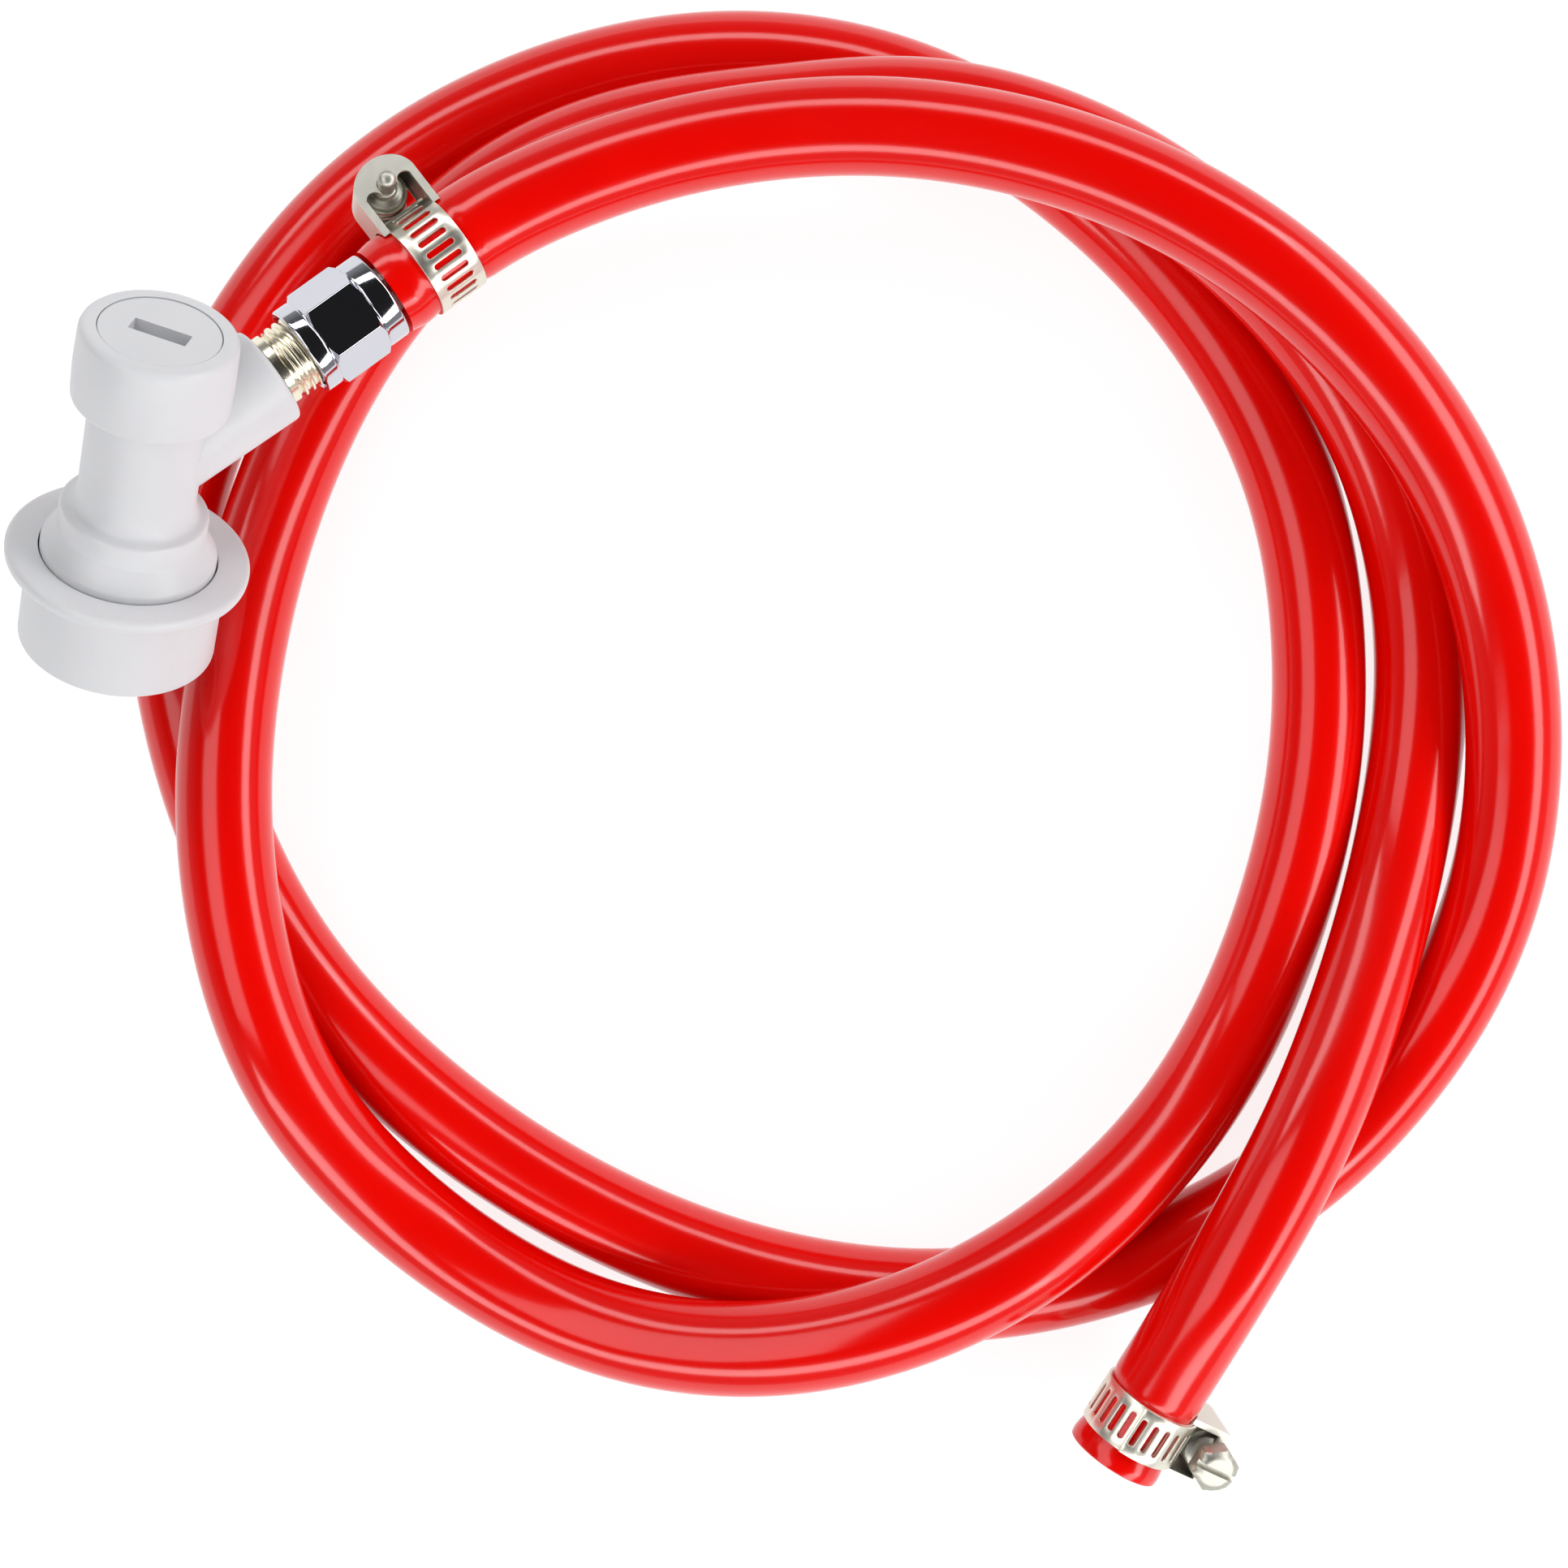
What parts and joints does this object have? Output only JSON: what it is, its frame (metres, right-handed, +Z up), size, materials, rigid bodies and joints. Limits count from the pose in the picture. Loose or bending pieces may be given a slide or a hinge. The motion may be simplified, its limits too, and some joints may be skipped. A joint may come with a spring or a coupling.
{
  "type": "keg gas line",
  "caption": "Red gas hose in a loose coil, with a light grey ball-lock keg disconnect on a flared swivel-nut joint and worm-drive clamps.",
  "frame": {"origin": "on the surface that the coil lies on, in the middle of the outline of the disconnect, the nut and the two clamps", "axes": "+Z up from the surface; +Y from the bare hose end towards the disconnect's cap; +X from the disconnect towards the coil"},
  "size_m": [0.2282, 0.2244, 0.0713],
  "materials": {
    "grey_plastic": "satin, light grey",
    "nickel": "nickel plated, slightly golden",
    "chrome": "polished",
    "stainless": "bright rolled",
    "red_pvc": "glossy, opaque red",
    "black_rubber": "matte",
    "white_nylon": "matte"
  },
  "bodies": {
    "line": {"disconnect_body": "grey_plastic", "cap_o_ring": "black_rubber", "retaining_ring": "stainless", "collar_spring": "stainless", "pin_spring": "stainless", "flare_insert": "nickel", "flare_washer": "white_nylon", "barb_stem": "stainless", "gas_hose": "red_pvc", "near_clamp_band": "stainless", "near_clamp_housing": "stainless", "far_clamp_band": "stainless", "far_clamp_housing": "stainless"},
    "collar": {"release_collar": "grey_plastic"},
    "ball_1": {"locking_ball_1": "stainless"},
    "ball_2": {"locking_ball_2": "stainless"},
    "ball_3": {"locking_ball_3": "stainless"},
    "pin": {"valve_pin": "grey_plastic", "pin_gasket": "black_rubber"},
    "cap": {"top_cap": "grey_plastic"},
    "nut": {"swivel_nut": "chrome"},
    "near_screw": {"near_clamp_screw": "stainless"},
    "far_screw": {"far_clamp_screw": "stainless"}
  },
  "joints": [
    {"name": "collar_pull", "type": "slide", "parent": "line", "child": "collar", "axis": [0.2255, 0.7643, 0.6041], "range_m": [0, 0.005], "stiffness_N_per_m": 900, "springref_m": -0.004, "deforming": ["collar_spring"]},
    {"name": "ball_1_retreat", "type": "slide", "parent": "line", "child": "ball_1", "axis": [-0.7734, -0.2367, 0.5881], "range_m": [0, 0.0009]},
    {"name": "ball_2_retreat", "type": "slide", "parent": "line", "child": "ball_2", "axis": [0.8998, -0.4011, 0.1717], "range_m": [0, 0.0009]},
    {"name": "ball_3_retreat", "type": "slide", "parent": "line", "child": "ball_3", "axis": [-0.1264, 0.6378, -0.7598], "range_m": [0, 0.0009]},
    {"name": "pin_push", "type": "slide", "parent": "line", "child": "pin", "axis": [0.2255, 0.7643, 0.6041], "range_m": [0, 0.003], "stiffness_N_per_m": 400, "springref_m": -0.004, "deforming": ["pin_spring"]},
    {"name": "cap_turn", "type": "hinge", "parent": "line", "child": "cap", "pos_m": [-0.0652, 0.07027, 0.06265], "axis": [0.2255, 0.7643, 0.6041], "continuous": true},
    {"name": "nut_turn", "type": "hinge", "parent": "line", "child": "nut", "pos_m": [-0.0703, 0.053, 0.049], "axis": [0.7781, 0.5991, -0.189], "continuous": true},
    {"name": "near_screw_turn", "type": "hinge", "parent": "line", "child": "near_screw", "pos_m": [-0.03696, 0.09305, 0.03913], "axis": [0.1455, 0.1209, 0.9819], "continuous": true},
    {"name": "far_screw_turn", "type": "hinge", "parent": "line", "child": "far_screw", "pos_m": [0.08336, -0.092, 0.00931], "axis": [-0.2116, 0.3281, -0.9206], "continuous": true}
  ],
  "couplings": [
    {"joint": "ball_1_retreat", "follows": "collar_pull", "ratio": 0.18},
    {"joint": "ball_2_retreat", "follows": "collar_pull", "ratio": 0.18},
    {"joint": "ball_3_retreat", "follows": "collar_pull", "ratio": 0.18}
  ]
}
